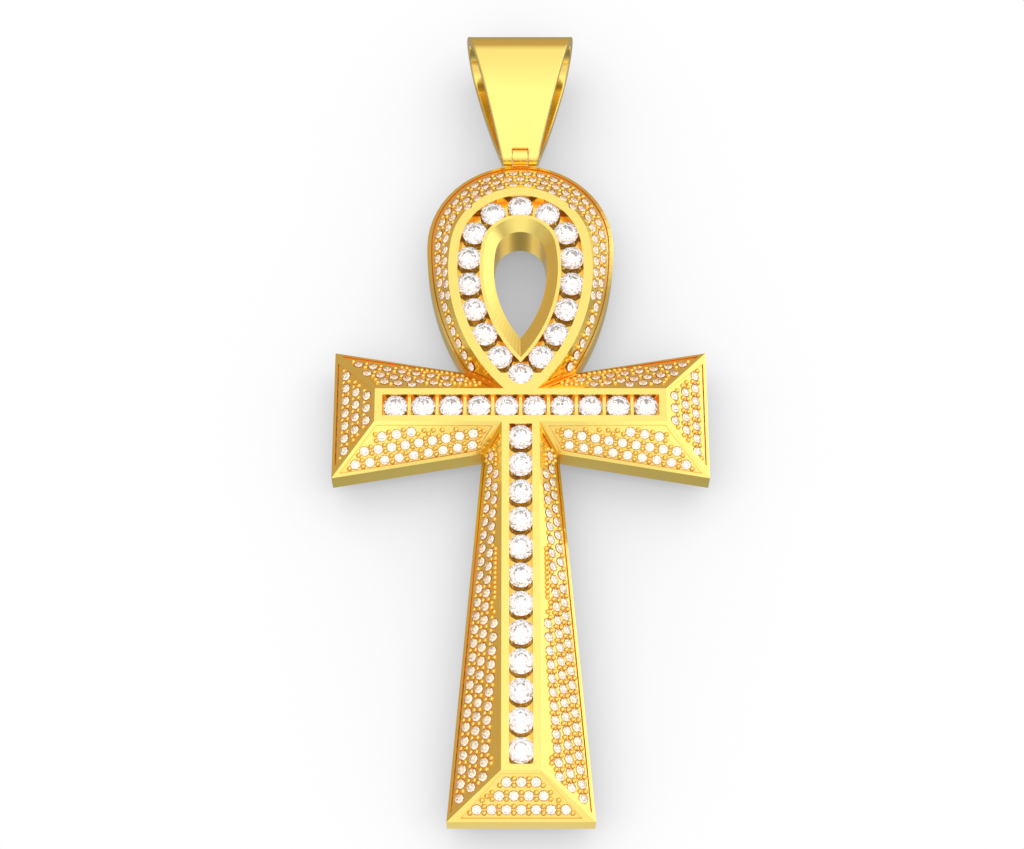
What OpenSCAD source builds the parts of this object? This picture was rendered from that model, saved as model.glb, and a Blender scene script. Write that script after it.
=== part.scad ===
// Ankh pendant: a bevelled cross and teardrop loop set with stones, hung from a tapered bail.
// X is the width, +Y is the back and +Z is up. The chain lies at the origin, under the top of the bail.

/* [Hanging] */
// Height from the middle of the crossbar up to the chain
cross_drop = 42.1; // [41.9:0.1:43]
// Depth of the front face in front of the hinge pin
front_depth = 2.6; // [2.4:0.1:2.8]

/* [Body] */
// Whole thickness of the metal, front to back
body_t = 4.9; // [4.5:0.1:5.5]
// Height of the bevel, from the front face back to the top of the side wall
bevel_h = 2.45; // [2.2:0.05:2.6]
// Depth of the sunk fields for the small stones, measured along Y
field_depth = 0.12; // [0.1:0.02:0.22]
// Width of the plain metal border round each field
border_w = 0.42; // [0.3:0.02:0.5]

/* [Crossbar] */
// Half of the whole width over the arms
arm_x = 18.3; // [17.8:0.1:18.8]
// Half of the height of an arm at its end
arm_end_z = 6.7; // [6.4:0.1:7]
// Half of the length of the flat front face
bar_face_x = 14.15; // [14:0.05:14.3]
// Half of the height of the flat front face
bar_face_z = 1.75; // [1.7:0.05:1.8]

/* [Stem] */
// Distance from the middle of the crossbar to the foot
foot_z = 40.5; // [40.2:0.1:41.5]
// Half of the width of the foot
foot_x = 6.8; // [6.5:0.1:7.2]
// Distance from the middle of the crossbar to the lower end of the flat front face
stem_face_z = 36.3; // [36.1:0.1:36.5]
// Half of the width of the flat front face
stem_face_x = 1.83; // [1.78:0.01:1.9]
// Half of the width of the stem where it leaves the arms
stem_root_x = 3.7; // [3.6:0.1:3.9]
// Distance from the middle of the crossbar down to that corner
stem_root_z = 4.15; // [4:0.05:4.3]

/* [Loop] */
// Height of the centre of the round top of the stone row
row_z = 17.1; // [17:0.1:17.2]
// Radius of the stone row round the top
row_r = 5; // [4.95:0.05:5.05]
// Radius of the stone row down each side
row_side_r = 16.7; // [16.6:0.1:16.8]
// Angle from the top at which the sides of the row begin
row_turn = 80; // [79:1:81]
// Height of the centre of the round top of the outer edge
rim_z = 18.65; // [18.6:0.05:18.75]
// Radius of the outer edge round the top
rim_r = 9.4; // [9.3:0.05:9.45]
// Radius of the outer edge down each side
rim_side_r = 27; // [26.5:0.5:27.5]
// Half of the width of the flat front band round the stone row
band_w = 2.02; // [1.9:0.02:2.1]
// Height of the centre of the round top of the hole
hole_z = 17; // [16.9:0.05:17.1]
// Radius of the round top of the hole
hole_r = 2.5; // [2.4:0.05:2.6]
// Radius of the sides of the hole
hole_side_r = 12.5; // [12.3:0.1:12.8]
// Width of the inner rail's flat top
rail_w = 0.35; // [0.3:0.05:0.4]
// Depth of the polished bevel that runs down to the hole
hole_bevel_h = 0.9; // [0.8:0.05:1.1]

/* [Main stones] */
// Width of the channels in which the stones sit
channel_w = 2.2; // [2.16:0.02:2.24]
// Depth of the channels
channel_d = 1.1; // [1:0.05:1.2]
// Diameter of the stones of the loop and stem
stone_d = 2.5; // [2.46:0.02:2.52]
// Diameter of the stones of the crossbar
bar_stone_d = 2.3; // [2.26:0.02:2.34]
// Distance between stones of the stem
stem_pitch = 2.832; // [2.82:0.002:2.84]
// Distance between stones of the crossbar
bar_pitch = 2.7; // [2.68:0.01:2.72]
// Distance between stones round the loop
loop_pitch = 2.9; // [2.88:0.01:2.92]
// Depth of the girdle of a main stone below the front face
girdle_depth = 0.38; // [0.36:0.01:0.4]

/* [Small stones] */
// Diameter of the small stones
pave_d = 0.96; // [0.9:0.02:0.98]
// Clearance round a stone in its seat
seat_gap = 0.03; // [0.03:0.01:0.05]

/* [Bail] */
// Outer radius of the bail's round top, seen from the side
bail_r = 4; // [3.8:0.1:4.2]
// Height from the hinge pin up to the centre of that round top
bail_rise = 9.8; // [9.6:0.1:10]
// Thickness of the bail's strap
strap_t = 0.9; // [0.8:0.05:1]
// Half of the bail's width at the hinge pin
bail_low_x = 2; // [1.9:0.05:2.1]
// Half of the bail's width at the top
bail_top_x = 5.55; // [5.3:0.05:5.7]
// Radius of the hinge knuckles
knuckle_r = 1.05; // [1:0.01:1.06]
// Diameter of the hinge pin
pin_d = 0.8; // [0.7:0.05:0.9]
// Half of the width of the middle knuckle, which belongs to the body
lug_x = 0.75; // [0.7:0.05:0.8]

/* [Hidden] */
$fn = 64;
eps = 0.01;
bar_stones = 10;
stem_stones = 12;
loop_stones = 16;

BAR_NODES = [for (i = [1:bar_stones]) str("crossbar_stone_", i)];
STEM_NODES = [for (i = [1:stem_stones]) str("stem_stone_", i)];
LOOP_NODES = [for (i = [1:loop_stones]) str("loop_stone_", i)];
PAVE_NODES = [
    "pave_loop", "pave_foot",
    "pave_arm_top_left", "pave_arm_top_right", "pave_arm_low_left", "pave_arm_low_right",
    "pave_arm_end_left", "pave_arm_end_right"
];

GOLD = [0.93, 0.75, 0.33];
STONE = [0.93, 0.95, 0.97];

// Height from the hinge pin up to the chain, which lies against the inside of the bail's top
hinge_drop = bail_rise + bail_r - strap_t;
// Depth of the wall of metal left over the edge of each main stone
lip_depth = 0.2;
// Depth to which the seats of the main stones are drilled
seat_depth = 1.75;
// Plain metal left between the last stones of a channel and its end
channel_end = 0.12;
// How far a cutting shape runs past the surface that it cuts
over = 1;

// Points in the plane of the front face are [x, z], from the middle of the crossbar.
function mix(a, b, f) = a + (b - a) * f;
function flip(p) = [-p[0], p[1]];
function reverse(list) = [for (i = [len(list) - 1:-1:0]) list[i]];

// A teardrop line: an arc round the top, then an arc down the side that it meets smoothly.
// A teardrop is [height of the top's centre, radius of the top, turn angle, radius of the side].
ROW = [row_z, row_r, row_turn, row_side_r];
RIM = [rim_z, rim_r, 90, rim_side_r];
HOLE = [hole_z, hole_r, row_turn, hole_side_r];
function grown(t, w) = [t[0], t[1] + w, t[2], t[3] + w];
function side_c(t) = [-(t[3] - t[1]) * sin(t[2]), t[0] - (t[3] - t[1]) * cos(t[2])];
function top_pt(t, a) = [t[1] * sin(a), t[0] + t[1] * cos(a)];
function side_pt(t, a) = side_c(t) + t[3] * [sin(a), cos(a)];
// Angle at which the side comes down to height z, and at which it meets the axis
function side_end(t, z) = acos((z - side_c(t)[1]) / t[3]);
function tip_angle(t) = 180 - asin(-side_c(t)[0] / t[3]);
// The right half of the line, from the top to the angle end, in m and n steps
function half_line(t, end, m, n) = concat(
    [for (i = [0:m - 1]) top_pt(t, t[2] * i / m)],
    [for (i = [0:n]) side_pt(t, mix(t[2], end, i / n))]
);
// The point at length s along the right half
function along(t, s) = let (top_len = t[1] * t[2] * PI / 180)
    s < top_len ? top_pt(t, s / t[1] * 180 / PI) : side_pt(t, t[2] + (s - top_len) / t[3] * 180 / PI);
// Signed distance outwards from the line, and the direction outwards
function off_top(t, p) = atan2(p[0], p[1] - t[0]) < t[2];
function dist(t, p) = off_top(t, p) ? norm(p - [0, t[0]]) - t[1] : norm(p - side_c(t)) - t[3];
function outward(t, p) = let (v = p - (off_top(t, p) ? [0, t[0]] : side_c(t))) v / norm(v);

// Numbers of flat steps that the bevelled faces are made in
loop_top_steps = 14;
loop_side_steps = 20;
loop_steps = loop_top_steps + loop_side_steps;
arm_steps = 14;
stem_steps = 22;

// Corners of the bevelled faces: F points on the flat front face, E points on the outer edge
loop_foot_z = 4.5;
BAND = grown(ROW, band_w);
LOOP_F = half_line(BAND, side_end(BAND, bar_face_z), loop_top_steps, loop_side_steps);
LOOP_E = half_line(RIM, side_end(RIM, loop_foot_z), loop_top_steps, loop_side_steps);
VALLEY = [LOOP_F[loop_steps], LOOP_E[loop_steps]];
TOP_CORNER = [[bar_face_x, bar_face_z], [arm_x, arm_end_z]];
LOW_CORNER = [[bar_face_x, -bar_face_z], [arm_x, -arm_end_z]];
STEM_ROOT = [[stem_face_x, -bar_face_z], [stem_root_x, -stem_root_z]];
FOOT_CORNER = [[stem_face_x, -stem_face_z], [foot_x, -foot_z]];

// A bevelled face is ruled between two such pairs. facet() gives the pair at share s of the way.
function facet(a, b, s) = [mix(a[0], b[0], s), mix(a[1], b[1], s)];
// The shares [s, t] at which a face holds the point p, found in a few steps
function facet_st(a, b, p, s = 0.5, t = 0.5, n = 8) = n == 0 ? [s, t] : let (
    q = facet(a, b, s),
    miss = p - mix(q[0], q[1], t),
    along_s = mix(b[0] - a[0], b[1] - a[1], t),
    along_t = q[1] - q[0],
    det = along_s[0] * along_t[1] - along_s[1] * along_t[0]
) facet_st(
    a, b, p,
    s + (miss[0] * along_t[1] - miss[1] * along_t[0]) / det,
    t + (along_s[0] * miss[1] - along_s[1] * miss[0]) / det,
    n - 1
);

// Shares of the way along a face, from s0 to s1 in n steps, as pairs
function run(a, b, s0, s1, n) = [for (i = [0:n]) facet(a, b, mix(s0, s1, i / n))];
function flip_pair(p) = [flip(p[0]), flip(p[1])];

// Pairs along each bevelled face of the right half
LOOP_RUN = [for (i = [0:loop_steps]) [LOOP_F[i], LOOP_E[i]]];
ARM_TOP_RUN = run(VALLEY, TOP_CORNER, 0, 1, arm_steps);
ARM_LOW_RUN = run(STEM_ROOT, LOW_CORNER, 0, 1, arm_steps);
STEM_RUN = run(STEM_ROOT, FOOT_CORNER, 0, 1, stem_steps);
// Corners of the side walls on the right, from the top of the loop round to the foot
HALF_EDGE = concat(
    [for (p = LOOP_RUN) p[1]],
    [for (i = [1:arm_steps]) ARM_TOP_RUN[i][1]],
    [for (i = [arm_steps:-1:0]) ARM_LOW_RUN[i][1]],
    [for (i = [1:stem_steps]) STEM_RUN[i][1]]
);
EDGE = concat(HALF_EDGE, reverse([for (i = [1:len(HALF_EDGE) - 1]) flip(HALF_EDGE[i])]));

// Shapes drawn as [x, z] in the front plane are put into place between depths y0 and y1
module slab(y0, y1) {
    translate([0, y0, 0]) rotate([90, 0, 0]) mirror([0, 0, 1]) linear_extrude(y1 - y0) children();
}

// Everything of the body is built from the front face, then moved to where it hangs
module hang() {
    translate([0, -front_depth, -cross_drop]) children();
}

// A closed tube through sections of 4 points each, in triangles
module tube(sections) {
    last = (len(sections) - 1) * 4;
    sides = [for (i = [0:4:last - 4], j = [0:3], k = [0:1])
        k == 0 ? [i + j, i + (j + 1) % 4, i + 4 + (j + 1) % 4] : [i + j, i + 4 + (j + 1) % 4, i + 4 + j]];
    ends = [[2, 1, 0], [3, 2, 0], [last, last + 1, last + 2], [last, last + 2, last + 3]];
    polyhedron(points = [for (s = sections, p = s) p], faces = concat(sides, ends));
}

// How far the ruled piece of the loop runs in under the flat front
loop_in = 0.5;
// The metal in front of the side walls, in three ruled pieces that grow into each other
module bevelled_front() {
    // Both arms, from the left end to the right
    bar = concat(
        [for (i = [arm_steps:-1:0]) [flip_pair(ARM_TOP_RUN[i]), flip_pair(ARM_LOW_RUN[i])]],
        [for (i = [0:arm_steps]) [ARM_TOP_RUN[i], ARM_LOW_RUN[i]]]
    );
    tube([for (p = bar) [front(p[0][0]), edge(p[0][1]), edge(p[1][1]), front(p[1][0])]]);
    // The stem, from the crossbar to the foot
    tube([for (p = STEM_RUN) [front(p[0]), edge(p[1]), edge(flip(p[1])), front(flip(p[0]))]]);
    // The loop, from the left valley over the top to the right one, and the flat front inside it
    inner = half_line(grown(BAND, -loop_in), side_end(BAND, bar_face_z), loop_top_steps, loop_side_steps);
    half = [for (i = [0:loop_steps]) [LOOP_RUN[i], inner[i]]];
    all = concat(
        [for (i = [loop_steps:-1:1]) [flip_pair(half[i][0]), flip(half[i][1])]],
        half
    );
    tube([for (p = all) [front(p[0][0]), edge(p[0][1]), edge(p[1]), front(p[1])]]);
    teardrop(grown(BAND, -loop_in / 10), 0, bevel_h);
}
function front(p) = [p[0], 0, p[1]];
function edge(p) = [p[0], bevel_h, p[1]];

// One sunk field: pairs along the face, less the border next to the front face and next to the edge
module field_cut(pairs) {
    tube([for (p = pairs) let (
        f = border_w / norm(p[1] - p[0]),
        a = mix(p[0], p[1], f),
        b = mix(p[1], p[0], f)
    ) [
        [b[0], -over, b[1]],
        [b[0], bevel_h * (1 - f) + field_depth, b[1]],
        [a[0], bevel_h * f + field_depth, a[1]],
        [a[0], -over, a[1]]
    ]]);
}
module both_sides() {
    children();
    mirror([1, 0, 0]) children();
}
module fields() {
    loop_run = [for (i = [0:loop_steps - 1]) LOOP_RUN[i]];
    field_cut(concat(reverse([for (i = [1:loop_steps - 1]) flip_pair(loop_run[i])]), loop_run));
    field_cut(run(FOOT_CORNER, flip_pair(FOOT_CORNER), 0.07, 0.93, 1));
    both_sides() {
        field_cut(run(VALLEY, TOP_CORNER, 0.06, 0.965, arm_steps));
        field_cut(run(TOP_CORNER, LOW_CORNER, 0.07, 0.93, 1));
        field_cut(run(LOW_CORNER, STEM_ROOT, 0.035, 0.95, arm_steps));
        field_cut(run(STEM_ROOT, FOOT_CORNER, 0.02, 0.985, stem_steps));
    }
}

// A solid teardrop from arcs, between depths y0 and y1
module teardrop(t, y0, y1) {
    low = side_pt(t, t[2])[1];
    slab(y0, y1) union() {
        translate([0, t[0]]) circle(r = t[1]);
        intersection() {
            translate(side_c(t)) circle(r = t[3], $fn = 256);
            translate(flip(side_c(t))) circle(r = t[3], $fn = 256);
            translate([-t[1] - over, low - t[3]]) square([2 * (t[1] + over), t[3]]);
        }
    }
}

// The hole of the loop, with its polished bevel
hole_steps = 24;
module hole_cut() {
    rail = grown(ROW, -channel_w / 2 - rail_w);
    f = half_line(rail, tip_angle(rail), hole_steps, hole_steps);
    e = half_line(HOLE, tip_angle(HOLE), hole_steps, hole_steps);
    n = len(f);
    up = over / hole_bevel_h;
    pairs = concat(
        [for (i = [0:n - 1]) [f[i], e[i]]],
        reverse([for (i = [1:n - 2]) [flip(f[i]), flip(e[i])]])
    );
    m = len(pairs);
    top = [for (p = pairs) let (q = mix(p[0], p[1], -up)) [q[0], -over, q[1]]];
    low = [for (p = pairs) [p[1][0], hole_bevel_h, p[1][1]]];
    back = [for (p = pairs) [p[1][0], body_t + over, p[1][1]]];
    polyhedron(
        points = concat(top, low, back, [[0, -over, row_z], [0, body_t + over, row_z]]),
        faces = concat(
            [for (k = [0:1], i = [0:m - 1])
                [k * m + i, (k + 1) * m + i, (k + 1) * m + (i + 1) % m, k * m + (i + 1) % m]],
            [for (i = [0:m - 1]) [3 * m, i, (i + 1) % m]],
            [for (i = [0:m - 1]) [3 * m + 1, 2 * m + (i + 1) % m, 2 * m + i]]
        )
    );
}

// Places of the main stones, as [x, z]
last_loop_z = 3.42;
BAR_AT = [for (i = [0:bar_stones - 1]) [(i - (bar_stones - 1) / 2) * bar_pitch, 0]];
STEM_AT = [for (i = [0:stem_stones - 1]) [0, -3.23 - i * stem_pitch]];
LOOP_HALF = [for (i = [1:loop_stones / 2 - 1]) along(ROW, i * loop_pitch)];
LOOP_AT = concat([[0, row_z + row_r]], LOOP_HALF, [[0, last_loop_z]], reverse([for (p = LOOP_HALF) flip(p)]));

// Channels for the rows of main stones
module channels() {
    w = channel_w / 2;
    bar_end = BAR_AT[bar_stones - 1][0] + bar_stone_d / 2 + channel_end;
    stem_top = STEM_AT[0][1] + stone_d / 2 - eps;
    stem_low = STEM_AT[stem_stones - 1][1] - stone_d / 2 - channel_end;
    translate([-bar_end, -over, -w]) cube([2 * bar_end, over + channel_d, 2 * w]);
    translate([-w, -over, stem_low]) cube([2 * w, over + channel_d, stem_top - stem_low]);
    intersection() {
        difference() {
            teardrop(grown(ROW, w), -over, channel_d);
            teardrop(grown(ROW, -w), -2 * over, channel_d + over);
        }
        translate([-rim_r, -2 * over, last_loop_z]) cube([2 * rim_r, 4 * over, rim_z + rim_r]);
    }
    translate([0, channel_d, last_loop_z]) rotate([90, 0, 0]) cylinder(h = channel_d + over, d = stone_d - 0.1);
}
// Posts that part the crossbar's stones
post_w = 0.3;
post_depth = 0.3;
module posts() {
    for (i = [0:bar_stones - 2]) {
        translate([mix(BAR_AT[i][0], BAR_AT[i + 1][0], 0.5) - post_w / 2, post_depth, -channel_w / 2 - eps])
            cube([post_w, channel_d - post_depth + eps, channel_w + 2 * eps]);
    }
}
module seats(places, d) {
    for (p = places) {
        translate([p[0], seat_depth, p[1]]) rotate([90, 0, 0]) cylinder(h = seat_depth - lip_depth, d = d + 2 * seat_gap);
    }
}

// Rows of small stones on the flat faces, each straight in the front plane.
// Columns: x and z of the first stone, x and z of the last, number of stones
ARM_TOP_ROWS = [
    [15.95, 5.2, 5.95, 3.3, 8],
    [15.05, 3.95, 7.15, 2.5, 7],
    [13.3, 2.8, 10.6, 2.4, 3]
];
ARM_LOW_ROWS = [
    [16, -5.45, 4.7, -3.52, 9],
    [15.1, -4.3, 4.6, -2.66, 9],
    [13.4, -3.03, 10.6, -2.61, 3]
];
ARM_END_ROWS = [
    [17.12, 3.93, 17.12, -4.11, 7],
    [16.08, 1.9, 16.08, -2.11, 4],
    [14.98, 1.22, 14.98, -1.41, 3]
];
FOOT_ROWS = [
    [-4.05, -39.48, 4.05, -39.48, 7],
    [-2.03, -38.37, 2.03, -38.37, 4],
    [-1.34, -37.26, 1.34, -37.26, 3]
];
STEM_ROWS = [
    [2.86, -4.84, 5.64, -38.44, 26],
    [2.4, -6.95, 4.57, -37.56, 24],
    [2.51, -22.14, 3.49, -36.69, 12]
];
// Rows round the loop, each measured along itself from the top. Columns: place of the first stone, distance
// between stones at the top and at the end, number on a side, distance in from the outer edge at the top
// and at the end, number of the stone where that distance starts to change
LOOP_ROWS = [
    [0.74, 1.475, 1.422, 20, 1.28, 0.58, 5],
    [0, 1.345, 1.312, 15, 2.31, 1.36, 5.5],
    [0.76, 1.35, 1.35, 5, 3.36, 3.12, 2]
];

// A small stone's place is [point on the face, direction out of the face]
function face_place(a, b, p) = let (
    st = facet_st(a, b, p),
    s_dir = mix(b[0] - a[0], b[1] - a[1], st[1]),
    q = facet(a, b, st[0]),
    t_dir = q[1] - q[0],
    n = cross([s_dir[0], 0, s_dir[1]], [t_dir[0], bevel_h, t_dir[1]])
) [[p[0], bevel_h * st[1], p[1]], n / norm(n) * (n[1] > 0 ? -1 : 1)];
function face_places(a, b, rows) = [for (r = rows, i = [0:r[4] - 1])
    face_place(a, b, mix([r[0], r[1]], [r[2], r[3]], i / (r[4] - 1)))];
function loop_place(p) = let (
    inner = dist(grown(ROW, band_w), p),
    outer = -dist(RIM, p),
    slope = bevel_h / (inner + outer),
    out = outward(RIM, p),
    n = [slope * out[0], -1, slope * out[1]]
) [[p[0], slope * inner, p[1]], n / norm(n)];
function flip_place(p) = [[-p[0][0], p[0][1], p[0][2]], [-p[1][0], p[1][1], p[1][2]]];
LOOP_PLACES = [for (r = LOOP_ROWS, i = [0:r[3] - 1]) let (
    f = i / (r[3] - 1),
    d = mix(r[4], r[5], max(0, (i - r[6]) / (r[3] - 1 - r[6]))),
    p = along(grown(RIM, -mix(r[4], r[5], 0.5)), r[0] + i * mix(r[1], r[2], f)),
    place = loop_place(p - (dist(RIM, p) + d) * outward(RIM, p))
) each p[0] > eps ? [place, flip_place(place)] : [place]];
ARM_TOP_PLACES = face_places(TOP_CORNER, VALLEY, ARM_TOP_ROWS);
ARM_LOW_PLACES = face_places(LOW_CORNER, STEM_ROOT, ARM_LOW_ROWS);
ARM_END_PLACES = face_places(TOP_CORNER, LOW_CORNER, ARM_END_ROWS);
FOOT_PLACES = face_places([flip(FOOT_CORNER[0]), flip(FOOT_CORNER[1])], FOOT_CORNER, FOOT_ROWS);
STEM_PLACES = face_places(STEM_ROOT, FOOT_CORNER, STEM_ROWS);

// Turns and moves a shape whose axis is Z, so that Z points out of the face
module at_place(p) {
    n = p[1];
    translate(p[0]) rotate([0, acos(n[2]), atan2(n[1], n[0])]) children();
}
// Height of a small stone's girdle over the floor of its field, and depth of its seat
pave_lift = 0.05;
pave_seat_depth = 0.48;
// The floor lies below the face by the field's depth, seen square to the face
function floor_of(p) = p[0] + [0, field_depth, 0];
module pave_seats(places) {
    for (p = places) {
        at_place([floor_of(p), p[1]])
            translate([0, 0, -pave_seat_depth]) cylinder(h = pave_seat_depth + 0.3, d = pave_d + 2 * seat_gap);
    }
}

// A round stone cut with a table and eight facets over its girdle and eight under it
module pave_stone(d) {
    table = 0.29 * d;
    crown = 0.17 * d;
    depth = 0.42 * d;
    ring = [for (i = [0:7]) [cos(45 * i), sin(45 * i)]];
    polyhedron(
        points = concat(
            [for (c = ring) [c[0] * table, c[1] * table, crown]],
            [for (c = ring) [c[0] * d / 2, c[1] * d / 2, 0]],
            [[0, 0, -depth]]
        ),
        faces = concat(
            [[7, 6, 5, 4, 3, 2, 1, 0]],
            [for (i = [0:7]) [i, (i + 1) % 8, 8 + (i + 1) % 8, 8 + i]],
            [for (i = [0:7]) [8 + i, 8 + (i + 1) % 8, 16]]
        )
    );
}
module pave(places) {
    color(STONE) hang() for (p = places) {
        at_place([floor_of(p), p[1]]) translate([0, 0, pave_lift]) pave_stone(pave_d);
    }
}

// A round brilliant: table, 8 stars, 8 kites and 16 halves over the girdle, 16 halves and 8 kites under it
module brilliant(d) {
    r = d / 2;
    table_r = 0.57 * r;
    crown = 0.144 * d;
    girdle = 0.024 * d;
    pavilion = 0.42 * d;
    star_r = 0.79 * r;
    half_r = 0.22 * r;
    star_h = (r - star_r * cos(22.5)) * crown / (r - table_r);
    half_h = pavilion - half_r * cos(22.5) * pavilion / r;
    function on(radius, angle, z) = [radius * cos(angle), radius * sin(angle), z];
    points = concat(
        [for (i = [0:7]) on(table_r, 45 * i, crown)],
        [for (i = [0:7]) on(star_r, 45 * i + 22.5, star_h)],
        [for (i = [0:15]) on(r, 22.5 * i, 0)],
        [for (i = [0:15]) on(r, 22.5 * i, -girdle)],
        [for (i = [0:7]) on(half_r, 45 * i + 22.5, -girdle - half_h)],
        [[0, 0, -girdle - pavilion]]
    );
    faces = concat(
        [[7, 6, 5, 4, 3, 2, 1, 0]],
        [for (i = [0:7]) [i, (i + 1) % 8, 8 + i]],
        [for (i = [0:7]) [i, 8 + i, 16 + 2 * i, 8 + (i + 7) % 8]],
        [for (i = [0:7]) [8 + i, 16 + 2 * i + 1, 16 + 2 * i]],
        [for (i = [0:7]) [8 + i, 16 + (2 * i + 2) % 16, 16 + 2 * i + 1]],
        [for (i = [0:15]) [16 + i, 16 + (i + 1) % 16, 32 + (i + 1) % 16, 32 + i]],
        [for (i = [0:7]) [32 + 2 * i, 32 + 2 * i + 1, 48 + i]],
        [for (i = [0:7]) [32 + 2 * i + 1, 32 + (2 * i + 2) % 16, 48 + i]],
        [for (i = [0:7]) [32 + 2 * i, 48 + i, 56, 48 + (i + 7) % 8]]
    );
    polyhedron(points = points, faces = faces);
}
module main_stone(p, d) {
    color(STONE) hang() translate([p[0], girdle_depth, p[1]]) rotate([90, 0, 0]) brilliant(d);
}

// The middle knuckle of the hinge, on a short neck over the top of the loop
neck_low = 27;
neck_front = 2.45;
pin_gap = 0.04;
hinge_z = cross_drop - hinge_drop;
module knuckle(x0, x1, r) {
    translate([x0, 0, 0]) rotate([0, 90, 0]) cylinder(h = x1 - x0, r = r);
}
module lug() {
    translate([0, front_depth, hinge_z]) knuckle(-lug_x, lug_x, knuckle_r);
    translate([-lug_x, neck_front, neck_low])
        cube([2 * lug_x, front_depth + knuckle_r - neck_front, hinge_z - neck_low]);
}

module ankh_body() {
    color(GOLD) hang() difference() {
        union() {
            difference() {
                union() {
                    slab(bevel_h, body_t) polygon(EDGE);
                    bevelled_front();
                }
                fields();
                channels();
            }
            posts();
            lug();
        }
        hole_cut();
        seats(BAR_AT, bar_stone_d);
        seats(STEM_AT, stone_d);
        seats(LOOP_AT, stone_d);
        pave_seats(LOOP_PLACES);
        pave_seats(FOOT_PLACES);
        both_sides() {
            pave_seats(ARM_TOP_PLACES);
            pave_seats(ARM_LOW_PLACES);
            pave_seats(ARM_END_PLACES);
            pave_seats(STEM_PLACES);
        }
        translate([0, front_depth, hinge_z]) knuckle(-lug_x - over, lug_x + over, pin_d / 2 + pin_gap);
    }
}

// The bail in its own plane, seen from the side: [y, z] from the hinge pin
leg_side = bail_r - knuckle_r;
leg_r = (bail_rise * bail_rise + leg_side * leg_side) / (2 * leg_side);
module bail_side(inset) {
    r = bail_r - inset;
    big = leg_r - inset;
    translate([0, bail_rise]) circle(r = r);
    intersection() {
        translate([leg_r - bail_r, bail_rise]) circle(r = big, $fn = 256);
        translate([bail_r - leg_r, bail_rise]) circle(r = big, $fn = 256);
        translate([-bail_r, 0]) square([2 * bail_r, bail_rise]);
    }
}
// Half width of the bail at a height over the hinge pin
function bail_x(h) = bail_low_x + (bail_top_x - bail_low_x) * h / (bail_rise + bail_r);
// Clearance round the middle knuckle, and heights of its slot over the pin in the back and front of the strap
slot_gap = 0.05;
slot_back_h = knuckle_r + 0.12;
slot_front_h = 0.3;
module bail() {
    low = -over - knuckle_r;
    high = bail_rise + bail_r + over;
    color(GOLD) translate([0, 0, -hinge_drop]) difference() {
        intersection() {
            rotate([90, 0, 90]) linear_extrude(4 * bail_top_x, center = true) difference() {
                union() {
                    bail_side(0);
                    circle(r = knuckle_r);
                }
                bail_side(strap_t);
            }
            translate([0, bail_r + over, 0]) rotate([90, 0, 0]) linear_extrude(2 * (bail_r + over)) polygon([
                [-bail_x(low), low], [bail_x(low), low], [bail_x(high), high], [-bail_x(high), high]
            ]);
        }
        slot_x = lug_x + slot_gap;
        translate([-slot_x, 0, -2 * knuckle_r]) cube([2 * slot_x, 2 * bail_r, 2 * knuckle_r + slot_back_h]);
        translate([-slot_x, -2 * bail_r, -2 * knuckle_r])
            cube([2 * slot_x, 2 * bail_r + eps, 2 * knuckle_r + slot_front_h]);
        knuckle(-slot_x, slot_x, knuckle_r + slot_gap);
        knuckle(-bail_top_x, bail_top_x, pin_d / 2 + pin_gap / 2);
    }
}

pin_x = 1.82;
module hinge_pin() {
    color(GOLD) translate([0, 0, -hinge_drop]) knuckle(-pin_x, pin_x, pin_d / 2);
}

ankh_body();
bail();
hinge_pin();
for (i = [0:bar_stones - 1]) main_stone(BAR_AT[i], bar_stone_d);
for (i = [0:stem_stones - 1]) main_stone(STEM_AT[i], stone_d);
for (i = [0:loop_stones - 1]) main_stone(LOOP_AT[i], stone_d);
pave(LOOP_PLACES);  // pave_loop
pave(FOOT_PLACES);  // pave_foot
mirror([1, 0, 0]) pave(ARM_TOP_PLACES);  // pave_arm_top_left
pave(ARM_TOP_PLACES);  // pave_arm_top_right
mirror([1, 0, 0]) pave(ARM_LOW_PLACES);  // pave_arm_low_left
pave(ARM_LOW_PLACES);  // pave_arm_low_right
mirror([1, 0, 0]) pave(ARM_END_PLACES);  // pave_arm_end_left
pave(ARM_END_PLACES);  // pave_arm_end_right
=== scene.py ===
import math

import bpy
import numpy as np
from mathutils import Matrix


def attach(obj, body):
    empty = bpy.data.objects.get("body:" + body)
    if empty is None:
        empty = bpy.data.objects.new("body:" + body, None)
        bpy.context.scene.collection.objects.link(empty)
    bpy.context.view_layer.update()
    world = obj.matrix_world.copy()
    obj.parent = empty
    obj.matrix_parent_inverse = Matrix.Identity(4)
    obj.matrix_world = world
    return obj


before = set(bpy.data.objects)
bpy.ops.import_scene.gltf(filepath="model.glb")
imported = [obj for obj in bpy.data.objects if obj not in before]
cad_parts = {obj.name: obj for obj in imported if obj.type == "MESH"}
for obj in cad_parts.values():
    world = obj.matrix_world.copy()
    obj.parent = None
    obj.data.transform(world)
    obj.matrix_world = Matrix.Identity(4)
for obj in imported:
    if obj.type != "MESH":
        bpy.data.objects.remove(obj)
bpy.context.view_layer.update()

MM = 0.001

# Sizes shared with the solids, in millimetres
FRONT_DEPTH, CROSS_DROP = 2.6, 42.1
BEVEL_H, FIELD_DEPTH = 2.45, 0.12
ARM_X, ARM_END_Z, BAR_FACE_X, BAR_FACE_Z = 18.3, 6.7, 14.15, 1.75
FOOT_Z, FOOT_X, STEM_FACE_Z, STEM_FACE_X = 40.5, 6.8, 36.3, 1.83
STEM_ROOT_X, STEM_ROOT_Z, LOOP_FOOT_Z, BAND_W = 3.7, 4.15, 4.5, 2.02
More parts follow.
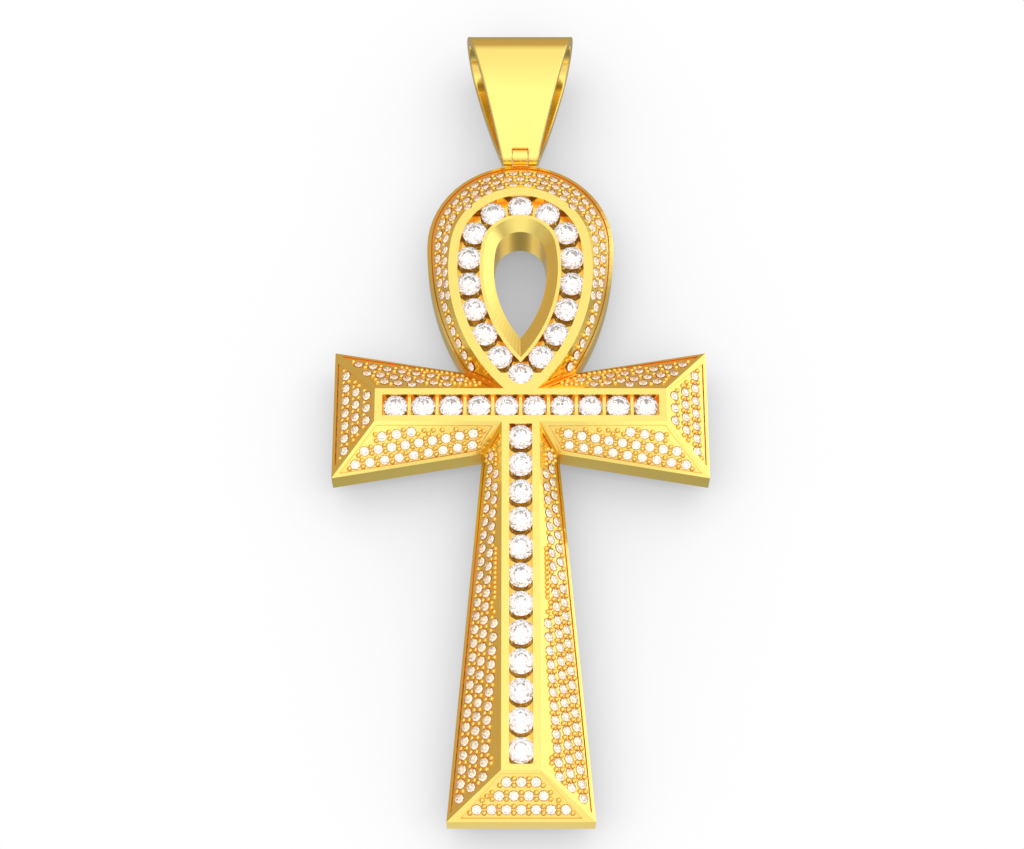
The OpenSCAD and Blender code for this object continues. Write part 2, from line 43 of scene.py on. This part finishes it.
# Outlines of the loop: height of the top arc's centre, its radius, its half angle and the radius of the sides
ROW = (17.1, 5.0, 80.0, 16.7)
RIM = (18.65, 9.4, 90.0, 27.0)
# A small stone's width, and how high its girdle lies over the floor of its field
PAVE_D, PAVE_LIFT = 0.96, 0.05
# Of a small stone's width: half its table, its height over the girdle and its depth below it
TABLE, CROWN, PAVILION = 0.29, 0.17, 0.42

# Rows of small stones. Columns: x and z of the first stone, x and z of the last, number
ARM_TOP_ROWS = ((15.95, 5.2, 5.95, 3.3, 8), (15.05, 3.95, 7.15, 2.5, 7), (13.3, 2.8, 10.6, 2.4, 3))
ARM_LOW_ROWS = ((16, -5.45, 4.7, -3.52, 9), (15.1, -4.3, 4.6, -2.66, 9), (13.4, -3.03, 10.6, -2.61, 3))
ARM_END_ROWS = ((17.12, 3.93, 17.12, -4.11, 7), (16.08, 1.9, 16.08, -2.11, 4), (14.98, 1.22, 14.98, -1.41, 3))
FOOT_ROWS = ((-4.05, -39.48, 4.05, -39.48, 7), (-2.03, -38.37, 2.03, -38.37, 4), (-1.34, -37.26, 1.34, -37.26, 3))
STEM_ROWS = ((2.86, -4.84, 5.64, -38.44, 26), (2.4, -6.95, 4.57, -37.56, 24), (2.51, -22.14, 3.49, -36.69, 12))
# Rows of the loop. Columns: start along the row, first and last pitch, number, first and last distance in from the
# rim, and how many stones keep the first distance
LOOP_ROWS = (
    (0.74, 1.475, 1.422, 20, 1.28, 0.58, 5),
    (0, 1.345, 1.312, 15, 2.31, 1.36, 5.5),
    (0.76, 1.35, 1.35, 5, 3.36, 3.12, 2),
)


# ---- Faces of the bevels, as in the solids ----
def mix(a, b, f):
    return np.asarray(a, float) * (1 - f) + np.asarray(b, float) * f


def flip(p):
    return np.array((-p[0], *p[1:]))


def grown(t, w):
    """Outline t moved outwards by w"""
    return (t[0], t[1] + w, t[2], t[3] + w)


def side_c(t):
    a = math.radians(t[2])
    return np.array((-(t[3] - t[1]) * math.sin(a), t[0] - (t[3] - t[1]) * math.cos(a)))


def top_pt(t, a):
    a = math.radians(a)
    return np.array((t[1] * math.sin(a), t[0] + t[1] * math.cos(a)))


def side_pt(t, a):
    a = math.radians(a)
    return side_c(t) + t[3] * np.array((math.sin(a), math.cos(a)))


def side_end(t, z):
    return math.degrees(math.acos((z - side_c(t)[1]) / t[3]))


def along(t, s):
    """The point of outline t at the distance s along it from its top"""
    top_len = math.radians(t[1] * t[2])
    if s < top_len:
        return top_pt(t, math.degrees(s / t[1]))
    return side_pt(t, t[2] + math.degrees((s - top_len) / t[3]))


def centre_by(t, p):
    """Centre and radius of the arc of outline t that p lies by"""
    off_top = math.degrees(math.atan2(p[0], p[1] - t[0])) < t[2]
    return (np.array((0, t[0])), t[1]) if off_top else (side_c(t), t[3])


def dist(t, p):
    c, r = centre_by(t, p)
    return np.linalg.norm(p - c) - r


def outward(t, p):
    v = p - centre_by(t, p)[0]
    return v / np.linalg.norm(v)


BAND = grown(ROW, BAND_W)
VALLEY = (side_pt(BAND, side_end(BAND, BAR_FACE_Z)), side_pt(RIM, side_end(RIM, LOOP_FOOT_Z)))
TOP_CORNER = ((BAR_FACE_X, BAR_FACE_Z), (ARM_X, ARM_END_Z))
LOW_CORNER = ((BAR_FACE_X, -BAR_FACE_Z), (ARM_X, -ARM_END_Z))
STEM_ROOT = ((STEM_FACE_X, -BAR_FACE_Z), (STEM_ROOT_X, -STEM_ROOT_Z))
FOOT_CORNER = ((STEM_FACE_X, -STEM_FACE_Z), (FOOT_X, -FOOT_Z))
FOOT_LEFT = (flip(FOOT_CORNER[0]), flip(FOOT_CORNER[1]))


def face_place(a, b, p):
    """The point of the ruled face a-b that lies at p in the front plane, and the direction out of the face"""
    s = t = 0.5
    for _ in range(8):
        f, e = mix(a[0], b[0], s), mix(a[1], b[1], s)
        miss = np.asarray(p) - mix(f, e, t)
        along_s = mix(np.subtract(b[0], a[0]), np.subtract(b[1], a[1]), t)
        along_t = e - f
        det = along_s[0] * along_t[1] - along_s[1] * along_t[0]
        s += (miss[0] * along_t[1] - miss[1] * along_t[0]) / det
        t += (along_s[0] * miss[1] - along_s[1] * miss[0]) / det
    s_dir = mix(np.subtract(b[0], a[0]), np.subtract(b[1], a[1]), t)
    t_dir = mix(a[1], b[1], s) - mix(a[0], b[0], s)
    n = np.cross((s_dir[0], 0, s_dir[1]), (t_dir[0], BEVEL_H, t_dir[1]))
    n *= (-1 if n[1] > 0 else 1) / np.linalg.norm(n)
    return np.array((p[0], BEVEL_H * t, p[1])), n


def loop_place(p):
    """The point of the loop's bevel that lies at p in the front plane, and the direction out of the bevel"""
    inner, outer = dist(BAND, p), -dist(RIM, p)
    slope = BEVEL_H / (inner + outer)
    out = outward(RIM, p)
    n = np.array((slope * out[0], -1, slope * out[1]))
    return np.array((p[0], slope * inner, p[1])), n / np.linalg.norm(n)


def flip_place(place):
    return flip(place[0]), flip(place[1])


# ---- Stones and beads of one face ----
# A bead's radius and how deep it is sunk; its distance from the line of a row, and past the last stone of the row
BEAD_R, BEAD_SINK = 0.27, 0.03
BEAD_SIDE, BEAD_END = 0.31, 0.62
# The least distances of a bead from an edge of the face, from another bead and from a stone
BORDER, BEAD_GAP, STONE_GAP = 0.66, 0.46, 0.68
# The distances of a bead on the loop from the rim, from the band, and its lowest height
LOOP_RIM_GAP, LOOP_BAND_GAP, LOOP_BEAD_Z = 0.4, 0.4, 5.2


def row_places(a, b, row):
    """The stones of a straight row, each as its point on the face and the direction out of the face"""
    return [face_place(a, b, mix(row[:2], row[2:4], i / (row[4] - 1))) for i in range(row[4])]


def bead_points(stones):
    """Two beads between neighbours of a row of stones, and two past each of its ends"""
    pts = [p for p, _ in stones]
    out = [n for _, n in stones]
    found = []
    for i in range(-1, len(pts)):
        a, b = max(i, 0), min(i + 1, len(pts) - 1)
        u = pts[min(a + 1, len(pts) - 1)] - pts[max(b - 1, 0)] if a == b else pts[b] - pts[a]
        u = u / np.linalg.norm(u)
        mid = (pts[a] + pts[b]) / 2
        if a == b:
            mid = mid + u * BEAD_END * (-1 if i < 0 else 1)
        w = np.cross(u, out[a] + out[b])
        w = w / np.linalg.norm(w)
        found += [mid + w * BEAD_SIDE, mid - w * BEAD_SIDE]
    return found


def clear_of(p, points, gap):
    return all(np.linalg.norm(p - q) > gap for q in points)


def apart(beads, stones):
    """The beads that keep clear of the stones and of the beads before them"""
    kept = []
    for p in beads:
        if clear_of(p, stones, STONE_GAP) and clear_of(p, kept, BEAD_GAP):
            kept.append(p)
    return kept


def edge_lines(a, b):
    """The four edges of a bevelled face, as pairs of points in space"""
    f = [np.array((q[0][0], 0, q[0][1])) for q in (a, b)]
    e = [np.array((q[1][0], BEVEL_H, q[1][1])) for q in (a, b)]
    return (f[0], f[1]), (e[0], e[1]), (f[0], e[0]), (f[1], e[1])


def clear_of_edges(a, b, p):
    for q, r in edge_lines(a, b):
        d = (r - q) / np.linalg.norm(r - q)
        if np.linalg.norm((p - q) - d * np.dot(p - q, d)) < BORDER:
            return False
    return True


def fill_points(a, b, step=0.5):
    """A close grid of points over a face, row by row from its outer edge"""
    length = max(np.linalg.norm(np.subtract(b[k], a[k])) for k in (0, 1))
    width = max(np.linalg.norm(edge_lines(a, b)[k][0] - edge_lines(a, b)[k][1]) for k in (2, 3))
    rows, across = int(width / step), int(length / step)
    for j in range(rows):
        t = 1 - (j + 0.5) / rows
        for i in range(across):
            s = (i + (0.25 if j % 2 else 0.75)) / across
            q = mix(mix(a[0], b[0], s), mix(a[1], b[1], s), t)
            yield np.array((q[0], BEVEL_H * t, q[1]))


def face_beads(a, b, rows, fill=()):
    """Beads of a face. Fill gives the ranges of x, and of z, in which loose beads take up what room is left"""
    sets = [row_places(a, b, row) for row in rows]
    stones = [p for found in sets for p, _ in found]
    beads = [p for found in sets for p in bead_points(found) if clear_of_edges(a, b, p)]
    kept = apart(beads, stones)
    for x0, x1, z0, z1 in fill:
        extra = [p for p in fill_points(a, b) if x0 < p[0] < x1 and z0 < p[2] < z1 and clear_of_edges(a, b, p)]
        kept = apart(kept + extra, stones)
    return [face_place(a, b, (p[0], p[2])) for p in kept]


def loop_point(row, i):
    """Stone i of a row of the loop, on its right half, as a point in the front plane"""
    start, pitch_0, pitch_1, n, in_0, in_1, hold = row
    d = float(mix(in_0, in_1, max(0, (i - hold) / (n - 1 - hold))))
    line = grown(RIM, -float(mix(in_0, in_1, 0.5)))
    p = along(line, start + i * float(mix(pitch_0, pitch_1, i / (n - 1))))
    return p - (dist(RIM, p) + d) * outward(RIM, p)


def loop_beads():
    """The beads of both halves of the loop, in mirrored pairs"""
    stones, beads = [], []
    for row in LOOP_ROWS:
        right = [loop_place(loop_point(row, i)) for i in range(row[3])]
        left = [flip_place(p) for p in reversed(right) if p[0][0] > 1e-6]
        stones += [p for p, _ in left + right]
        beads += bead_points(left + right)
    flat = [np.array((p[0], p[2])) for p in apart([p for p in beads if p[0] > -0.01], stones)]
    flat = [p for p in flat if dist(RIM, p) < -LOOP_RIM_GAP and dist(BAND, p) > LOOP_BAND_GAP and p[1] > LOOP_BEAD_Z]
    return [loop_place(p) for p in flat] + [flip_place(loop_place(p)) for p in flat if p[0] > 0.2]


def both(places):
    return places + [flip_place(p) for p in places]


# ---- Meshes made of many small copies ----
def frame_at(place, lift):
    """Origin and axes of a copy that stands on the sunk floor of its field"""
    p, n = place
    side = np.cross((0.0, 0.0, 1.0), n)
    side /= np.linalg.norm(side)
    up = np.cross(n, side)
    origin = p + np.array((0, FIELD_DEPTH, 0)) + n * lift - np.array((0, FRONT_DEPTH, CROSS_DROP))
    return origin, np.array((side, up, n))


def copies(name, places, points, faces, lift, material, slot, smooth):
    """One piece that holds a copy of the shape at each of the places"""
    verts, polys = [], []
    for place in places:
        origin, axes = frame_at(place, lift)
        start = len(verts)
        verts += [tuple((origin + np.asarray(p) @ axes) * MM) for p in points]
        polys += [tuple(start + k for k in f) for f in faces]
    mesh = bpy.data.meshes.new(name)
    mesh.from_pydata(verts, [], polys)
    mesh.polygons.foreach_set("use_smooth", [smooth] * len(polys))
    mesh.update()
    mesh.materials.append(material)
    piece = bpy.data.objects.new(name, mesh)
    bpy.context.scene.collection.objects.link(piece)
    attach(piece, "ankh")


def bead_shape(r=BEAD_R, sides=12, rings=3, skirt=0.12):
    """A closed dome on a short skirt"""
    points = [(0, 0, r)]
    circle = [(math.cos(2 * math.pi * i / sides), math.sin(2 * math.pi * i / sides)) for i in range(sides)]
    heights = [r * math.cos(math.pi / 2 * k / rings) for k in range(1, rings + 1)] + [-skirt]
    widths = [r * math.sin(math.pi / 2 * k / rings) for k in range(1, rings + 1)] + [r]
    for h, w in zip(heights, widths):
        points += [(w * x, w * y, h) for x, y in circle]
    faces = [(0, 1 + i, 1 + (i + 1) % sides) for i in range(sides)]
    for k in range(rings):
        a, b = 1 + k * sides, 1 + (k + 1) * sides
        faces += [(a + i, b + i, b + (i + 1) % sides, a + (i + 1) % sides) for i in range(sides)]
    faces.append(tuple(1 + rings * sides + i for i in reversed(range(sides))))
    return points, faces


def stone_shape(d=PAVE_D):
    """A round stone with a table, eight facets over its girdle and eight under it"""
    ring = [(math.cos(math.pi / 4 * i), math.sin(math.pi / 4 * i)) for i in range(8)]
    points = [(x * TABLE * d, y * TABLE * d, CROWN * d) for x, y in ring]
    points += [(x * d / 2, y * d / 2, 0) for x, y in ring] + [(0, 0, -PAVILION * d)]
    faces = [tuple(range(8))]
    faces += [(8 + i, 8 + (i + 1) % 8, (i + 1) % 8, i) for i in range(8)]
    faces += [(16, 8 + (i + 1) % 8, 8 + i) for i in range(8)]
    return points, faces


# ---- Nodes ----
def feed(tree, socket, value):
    """Link the socket to another, or set its number or colour"""
    if isinstance(value, bpy.types.NodeSocket):
        tree.links.new(value, socket)
    else:
        socket.default_value = value


def vector_math(tree, operation, *values):
    """The node of a sum or product of vectors, each a socket or three numbers"""
    node = tree.nodes.new("ShaderNodeVectorMath")
    node.operation = operation
    for socket, value in zip(node.inputs, values):
        feed(tree, socket, value)
    return node


def stretched(tree, value, low, high, to_low=0.0, to_high=1.0):
    """The value, its range from low to high stretched to the range from to_low to to_high"""
    node = tree.nodes.new("ShaderNodeMapRange")
    for name, number in (("From Min", low), ("From Max", high), ("To Min", to_low), ("To Max", to_high)):
        node.inputs[name].default_value = number
    tree.links.new(value, node.inputs["Value"])
    return node.outputs["Result"]


def ramp(tree, value, stops):
    """Colours along the value. A stop is its position, red, green and blue; the two outermost come first"""
    node = tree.nodes.new("ShaderNodeValToRGB")
    elements = node.color_ramp.elements
    for element, stop in zip((elements[0], elements[1]), stops):
        element.position, element.color = stop[0], (*stop[1:], 1)
    for stop in stops[2:]:
        elements.new(stop[0]).color = (*stop[1:], 1)
    tree.links.new(value, node.inputs["Fac"])
    return node.outputs["Color"]


def blended(tree, blend, a, b, factor=1.0):
    """Colours a and b mixed by the factor, each a socket or a value"""
    node = tree.nodes.new("ShaderNodeMix")
    node.data_type = "RGBA"
    node.blend_type = blend
    for socket, value in ((node.inputs["Factor"], factor), (node.inputs[6], a), (node.inputs[7], b)):
        feed(tree, socket, value)
    return node.outputs[2]


def openness(tree, distance, samples, own=True):
    """1 where a place is open, down to 0 where it is hidden from all round. Only what lies within the distance, in
    mm, can hide it, and with own only the piece that it is on"""
    node = tree.nodes.new("ShaderNodeAmbientOcclusion")
    node.samples = samples
    node.only_local = own
    node.inputs["Distance"].default_value = distance * MM
    return node.outputs["AO"]


def new_material(name):
    mat = bpy.data.materials.new(name)
    mat.use_nodes = True
    mat.node_tree.nodes.clear()
    return mat, mat.node_tree, mat.node_tree.nodes.new("ShaderNodeOutputMaterial")


def noise_on(tree, scale, detail=2.0):
    noise = tree.nodes.new("ShaderNodeTexNoise")
    noise.inputs["Scale"].default_value = scale
    noise.inputs["Detail"].default_value = detail
    coord = tree.nodes.new("ShaderNodeTexCoord")
    tree.links.new(coord.outputs["Object"], noise.inputs["Vector"])
    return noise.outputs["Fac"]


# ---- Gold ----
# How near metal has to be for the painted shade of a close gap, and of a channel or hollow, in millimetres
GAP_REACH, HOLLOW_REACH = 0.5, 6.0
# Painted shade of close gaps, a deeper orange gold, and colour and strength of a painted glow there that stands in
# for the light their walls pass on
GAP_SHADE_GOLD = (1.0, 0.56, 0.12)
PAINTED_BOUNCE, PAINTED_BOUNCE_STRENGTH = (1.0, 0.38, 0.05), 0.09
# Tint of the gloss at grazing angles
EDGE_GOLD = (1.0, 0.93, 0.75)
# Painted shade of hollows by how open a place is: position, then red, green and blue
BODY_SHADE = ((0.15, 0.62, 0.42, 0.26), (0.80, 1, 1, 1), (0.50, 1.0, 0.78, 0.52))
BAIL_SHADE = ((0.30, 0.90, 0.38, 0.15), (0.85, 1, 1, 1))


def gold_material(name, low, high, shade, rough_low, rough_high, scale, soft_edge=0):
    """Polished yellow gold, slightly uneven in tone and polish, whose edges shade as rounded by soft_edge, in mm"""
    mat, tree, out = new_material(name)
    shader = tree.nodes.new("ShaderNodeBsdfPrincipled")
    shader.inputs["Metallic"].default_value = 1.0
    shader.inputs["Specular Tint"].default_value = (*EDGE_GOLD, 1)
    shader.inputs["Emission Color"].default_value = (*PAINTED_BOUNCE, 1)
    noise = noise_on(tree, scale, 4.0)
    tone = ramp(tree, noise, ((0.3, *low), (0.7, *high)))
    # Painted shade: close gaps are mixed towards a deeper orange gold by how much metal near them hides them
    near = stretched(tree, openness(tree, GAP_REACH, 8, soft_edge > 0), 0.25, 0.95)
    colour = blended(tree, "MIX", (*GAP_SHADE_GOLD, 1), tone, near)
    # Painted shade: channels and the inside of the hole are darkened, standing in for the lesser light they get from
    # the studio
    dim = ramp(tree, openness(tree, HOLLOW_REACH, 6), shade)
    feed(tree, shader.inputs["Base Color"], blended(tree, "MULTIPLY", colour, dim))
    feed(tree, shader.inputs["Roughness"], stretched(tree, noise, 0, 1, rough_low, rough_high))
    # Painted glow in close gaps, standing in for light that gold walls pass on to each other
    feed(tree, shader.inputs["Emission Strength"], stretched(tree, near, 0, 1, PAINTED_BOUNCE_STRENGTH, 0.0))
    if soft_edge:
        rounded = tree.nodes.new("ShaderNodeBevel")
        rounded.samples = 6
        rounded.inputs["Radius"].default_value = soft_edge * MM
        feed(tree, shader.inputs["Normal"], rounded.outputs["Normal"])
    tree.links.new(shader.outputs["BSDF"], out.inputs["Surface"])
    return mat


GOLD_TONES = ((1.0, 0.79, 0.21), (1.0, 0.81, 0.225))
GOLD = gold_material("polished_gold", *GOLD_TONES, BODY_SHADE, 0.10, 0.17, 320)
BAIL_GOLD = gold_material("bail_gold", *GOLD_TONES, BAIL_SHADE, 0.10, 0.17, 320, 0.3)
BEAD_GOLD = gold_material("bead_gold", (1.0, 0.76, 0.19), (1.0, 0.80, 0.215), BODY_SHADE, 0.16, 0.24, 900)

# ---- Stones ----
# Painted light: facets that look this way, down and forward, get the most painted glow and the whitest tint
BRIGHT_WAY = (0.1, -0.64, -0.76)
# Width of the small flats, in millimetres
FLAT_SIZE = 0.28
# Painted tints by where a facet looks, from 0 away from the bright way to 1 along it: a painted tan shade where a
# facet looks up, white along the bright way
SMALL_SHADE_TINTS = (
    (0.38, 1.0, 0.80, 0.46),
    (0.97, 1.0, 1.0, 0.98),
    (0.51, 0.95, 0.48, 0.10),
    (0.55, 0.95, 0.48, 0.10),
    (0.74, 1.0, 0.91, 0.70),
)


def stone_material(name, colour, shade_tints, glow_low, glow_high, turn):
    """Clear cut stone with a painted glow by where a facet looks and, where there are shade_tints, a painted shade
    tint by it
    """
    mat, tree, out = new_material(name)
    shader = tree.nodes.new("ShaderNodeBsdfPrincipled")
    shader.inputs["Base Color"].default_value = (*colour, 1)
    shader.inputs["IOR"].default_value = 2.4
    shader.inputs["Transmission Weight"].default_value = 1.0
    shader.inputs["Emission Color"].default_value = (1.0, 0.97, 0.95, 1)
    feed(tree, shader.inputs["Roughness"], stretched(tree, noise_on(tree, 900.0), 0, 1, 0.0, 0.02))
    coord = tree.nodes.new("ShaderNodeTexCoord")
    facing = vector_math(tree, "DOT_PRODUCT", coord.outputs["Normal"], BRIGHT_WAY).outputs["Value"]
    # Painted light: facets that look along the bright way glow as if lit
    feed(tree, shader.inputs["Emission Strength"], stretched(tree, facing, 0.1, 0.95, glow_low, glow_high))
    if shade_tints:
        # Painted shade: facets that look up are tinted tan, those along the bright way white
        feed(tree, shader.inputs["Base Color"], ramp(tree, stretched(tree, facing, -1, 1), shade_tints))
    # Small flats, each turned a little, break what the facets mirror into flecks
    flats = tree.nodes.new("ShaderNodeTexVoronoi")
    flats.inputs["Scale"].default_value = 1 / (FLAT_SIZE * MM)
    geometry = tree.nodes.new("ShaderNodeNewGeometry")
    tree.links.new(coord.outputs["Object"], flats.inputs["Vector"])
    tilt = vector_math(tree, "MULTIPLY_ADD", flats.outputs["Color"], [turn] * 3, [-turn / 2] * 3)
    turned = vector_math(tree, "ADD", tilt.outputs["Vector"], geometry.outputs["Normal"])
    unit = vector_math(tree, "NORMALIZE", turned.outputs["Vector"])
    feed(tree, shader.inputs["Normal"], unit.outputs["Vector"])
    tree.links.new(shader.outputs["BSDF"], out.inputs["Surface"])
    return mat


# Both stones carry the painted glow, and the small ones also the painted tan shade
STONE = stone_material("cut_stone", (1, 0.99, 0.99), None, 0.02, 0.06, 0.12)
SMALL_STONE = stone_material("small_cut_stone", (1, 0.99, 0.99), SMALL_SHADE_TINTS, 0.0, 0.16, 0.16)

for name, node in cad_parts.items():
    if name == "bail":
        mat = BAIL_GOLD
    elif name in ("ankh_body", "hinge_pin"):
        mat = GOLD
    elif name.startswith("pave"):
        mat = SMALL_STONE
    else:
        mat = STONE
    for slot in node.material_slots:
        slot.material = mat

# ---- Small stones of the stem's sides, and the beads that hold all the small stones ----
STEM_PLACES = [p for row in STEM_ROWS for p in row_places(STEM_ROOT, FOOT_CORNER, row)]
copies("stem_side_stones", both(STEM_PLACES), *stone_shape(), PAVE_LIFT, SMALL_STONE, "stone", False)

# The last value of a face is the ranges of x, and of z, in which loose beads fill it up
BEADS = {
    "loop_beads": loop_beads(),
    "foot_beads": face_beads(FOOT_LEFT, FOOT_CORNER, FOOT_ROWS, ((-5, 5, -40, -37),)),
    "arm_top_beads": both(face_beads(TOP_CORNER, VALLEY, ARM_TOP_ROWS, ((4, 17.4, 2, 6),))),
    "arm_low_beads": both(face_beads(LOW_CORNER, STEM_ROOT, ARM_LOW_ROWS, ((3.5, 17.4, -6, -2),))),
    "arm_end_beads": both(face_beads(TOP_CORNER, LOW_CORNER, ARM_END_ROWS, ((14, 18, -5, 5),))),
    "stem_beads": both(face_beads(STEM_ROOT, FOOT_CORNER, STEM_ROWS, ((2, 7, -40, -4),))),
}
for name, places in BEADS.items():
    copies(name, places, *bead_shape(), -BEAD_SINK, BEAD_GOLD, "gold", True)

# ---- Stage: a pale wall close behind, joined to a floor by a cove, in metres ----
WALL_Y, WALL_TOP, FLOOR_Z, FLOOR_FRONT, STAGE_HALF, COVE_R = 0.0043, 0.6, -0.17, -0.9, 0.8, 0.06
# How far the wall moves back when the ankh swings level
SWING_ROOM = 0.085
# How near the pendant has to be for the painted soft shadow on the wall, in millimetres
SHADOW_REACH = 24


def backdrop():
    turns = [math.pi / 2 * k / 16 for k in range(1, 17)]
    line = [(WALL_Y, WALL_TOP), (WALL_Y, FLOOR_Z + COVE_R)]
    line += [(WALL_Y - COVE_R * (1 - math.cos(a)), FLOOR_Z + COVE_R * (1 - math.sin(a))) for a in turns]
    line.append((FLOOR_FRONT, FLOOR_Z))
    verts = [(x, y, z) for y, z in line for x in (-STAGE_HALF, STAGE_HALF)]
    faces = [(2 * k, 2 * k + 2, 2 * k + 3, 2 * k + 1) for k in range(len(line) - 1)]
    mesh = bpy.data.meshes.new("backdrop")
    mesh.from_pydata(verts, [], faces)
    mesh.polygons.foreach_set("use_smooth", [True] * len(faces))
    mesh.update()
    obj = bpy.data.objects.new("backdrop", mesh)
    bpy.context.scene.collection.objects.link(obj)
    mat, tree, out = new_material("pale_backdrop")
    nodes, links = tree.nodes, tree.links
    # Painted shadow: the wall glows pale, and darker where the pendant is near and hides it
    tone = ramp(tree, openness(tree, SHADOW_REACH, 24, False), ((0.0, 0.30, 0.30, 0.303), (0.97, 1, 1, 1)))
    paint = nodes.new("ShaderNodeEmission")
    links.new(tone, paint.inputs["Color"])
    # The back of the sheet is clear, and so is the sheet to all light but what the camera sees
    clear = nodes.new("ShaderNodeBsdfTransparent")
    shape = nodes.new("ShaderNodeNewGeometry")
    path = nodes.new("ShaderNodeLightPath")
    front = nodes.new("ShaderNodeMath")
    front.operation = "SUBTRACT"
    front.use_clamp = True
    join = nodes.new("ShaderNodeMixShader")
    links.new(path.outputs["Is Camera Ray"], front.inputs[0])
    links.new(shape.outputs["Backfacing"], front.inputs[1])
    links.new(front.outputs["Value"], join.inputs["Fac"])
    links.new(clear.outputs["BSDF"], join.inputs[1])
    links.new(paint.outputs["Emission"], join.inputs[2])
    links.new(join.outputs["Shader"], out.inputs["Surface"])
    mesh.materials.append(mat)
    return obj


def make_way(obj, swinging, reach):
    """Lets the wall stand further back as the foot of the pendant swings towards it"""
    tree = bpy.data.node_groups.new("make_way", "GeometryNodeTree")
    tree.interface.new_socket("Geometry", in_out="INPUT", socket_type="NodeSocketGeometry")
    tree.interface.new_socket("Geometry", in_out="OUTPUT", socket_type="NodeSocketGeometry")
    nodes, links = tree.nodes, tree.links
    start, end = nodes.new("NodeGroupInput"), nodes.new("NodeGroupOutput")
    info = nodes.new("GeometryNodeObjectInfo")
    info.inputs["Object"].default_value = swinging
    turn = nodes.new("FunctionNodeRotateVector")
    turn.inputs["Vector"].default_value = (0, 0, -1)
    parts = nodes.new("ShaderNodeSeparateXYZ")
    back = nodes.new("ShaderNodeMath")
    back.operation = "MAXIMUM"
    back.inputs[1].default_value = 0.0
    far = nodes.new("ShaderNodeMath")
    far.operation = "MULTIPLY"
    far.inputs[1].default_value = reach
    joined = nodes.new("ShaderNodeCombineXYZ")
    move = nodes.new("GeometryNodeSetPosition")
    links.new(info.outputs["Rotation"], turn.inputs["Rotation"])
    links.new(turn.outputs["Vector"], parts.inputs["Vector"])
    links.new(parts.outputs["Y"], back.inputs[0])
    links.new(back.outputs["Value"], far.inputs[0])
    links.new(far.outputs["Value"], joined.inputs["Y"])
    links.new(start.outputs["Geometry"], move.inputs["Geometry"])
    links.new(joined.outputs["Vector"], move.inputs["Offset"])
    links.new(move.outputs["Geometry"], end.inputs["Geometry"])
    obj.modifiers.new("make_way", "NODES").node_group = tree


make_way(backdrop(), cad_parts["ankh_body"], SWING_ROOM)

# ---- Soft studio light from all round, brightest in front and on the right ----
world = bpy.data.worlds.new("studio")
bpy.context.scene.world = world
world.use_nodes = True
sky = world.node_tree
sky.nodes.clear()
w_out = sky.nodes.new("ShaderNodeOutputWorld")
w_back = sky.nodes.new("ShaderNodeBackground")
sky.links.new(w_back.outputs["Background"], w_out.inputs["Surface"])
way = sky.nodes.new("ShaderNodeTexCoord").outputs["Generated"]
parts = sky.nodes.new("ShaderNodeSeparateXYZ")
sky.links.new(way, parts.inputs["Vector"])
path = sky.nodes.new("ShaderNodeLightPath")

# The room: neutral below, warm and dimmer above and at the sides
LOW_ROOM, HIGH_ROOM = (0.64, 0.60, 0.57, 1), (0.56, 0.42, 0.31, 1)
# Behind the pendant: brightness by height, from 0 straight down to 1 straight up, and its tint
BEHIND = ((0.255, 0.26), (0.64, 0.40), (0.30, 0.40), (0.375, 0.80), (0.50, 0.70))
BEHIND_TINT = (1, 0.95, 0.88)
# Lamps: direction, the cosines of the angles to it at which their light starts and is full, and colour
LAMPS = (
    ((0, -0.80, 0.60), 0.80, 0.97, (1.02, 1.0, 0.98, 1)),
    ((0, -0.50, -0.86), 0.72, 0.97, (0.94, 0.91, 0.88, 1)),
    ((0, -0.98, -0.20), 0.77, 0.95, (1.3, 1.3, 1.33, 1)),
    ((0.85, -0.42, 0.33), 0.74, 0.93, (1.35, 1.35, 1.35, 1)),
    ((0, 1.0, 0.08), 0.95, 0.99, (1.1, 1.08, 1.05, 1)),
)
STONES_SEE = (1.15, 1.13, 1.11, 1)

light = blended(sky, "MIX", LOW_ROOM, HIGH_ROOM, stretched(sky, parts.outputs["Z"], -0.3, 0.25))
height = stretched(sky, parts.outputs["Z"], -1, 1)
behind = ramp(sky, height, [(place, *(value * t for t in BEHIND_TINT)) for place, value in BEHIND])
light = blended(sky, "MIX", light, behind, stretched(sky, parts.outputs["Y"], 0.1, 0.5))
for direction, start, full, colour in LAMPS:
    size = math.sqrt(sum(v * v for v in direction))
    toward = vector_math(sky, "DOT_PRODUCT", way, [v / size for v in direction])
    light = blended(sky, "MIX", light, colour, stretched(sky, toward.outputs["Value"], start, full))
# Stones send back light from many more facets than they have here, so they see a whiter studio, most so low down
whiter = sky.nodes.new("ShaderNodeMath")
whiter.operation = "MULTIPLY"
sky.links.new(path.outputs["Is Transmission Ray"], whiter.inputs[0])
sky.links.new(stretched(sky, parts.outputs["Z"], -0.1, 0.6, 0.9, 0.3), whiter.inputs[1])
light = blended(sky, "MIX", light, STONES_SEE, whiter.outputs["Value"])
light = blended(sky, "MIX", light, (1, 1, 1, 1), path.outputs["Is Camera Ray"])
sky.links.new(light, w_back.inputs["Color"])

# ---- Camera: below the pendant and in front, looking up ----
cam_data = bpy.data.cameras.new("camera")
cam = bpy.data.objects.new("camera", cam_data)
bpy.context.scene.collection.objects.link(cam)
cam.location = (-0.00084, -0.20815, -0.13572)
cam.rotation_euler = (math.radians(114), 0, 0)
cam_data.sensor_width = 36
cam_data.lens = 82.0
cam_data.clip_start = 0.001
bpy.context.scene.camera = cam

view = bpy.context.scene.view_settings
view.view_transform = "Standard"
view.look = "None"
view.exposure = 0
view.gamma = 1
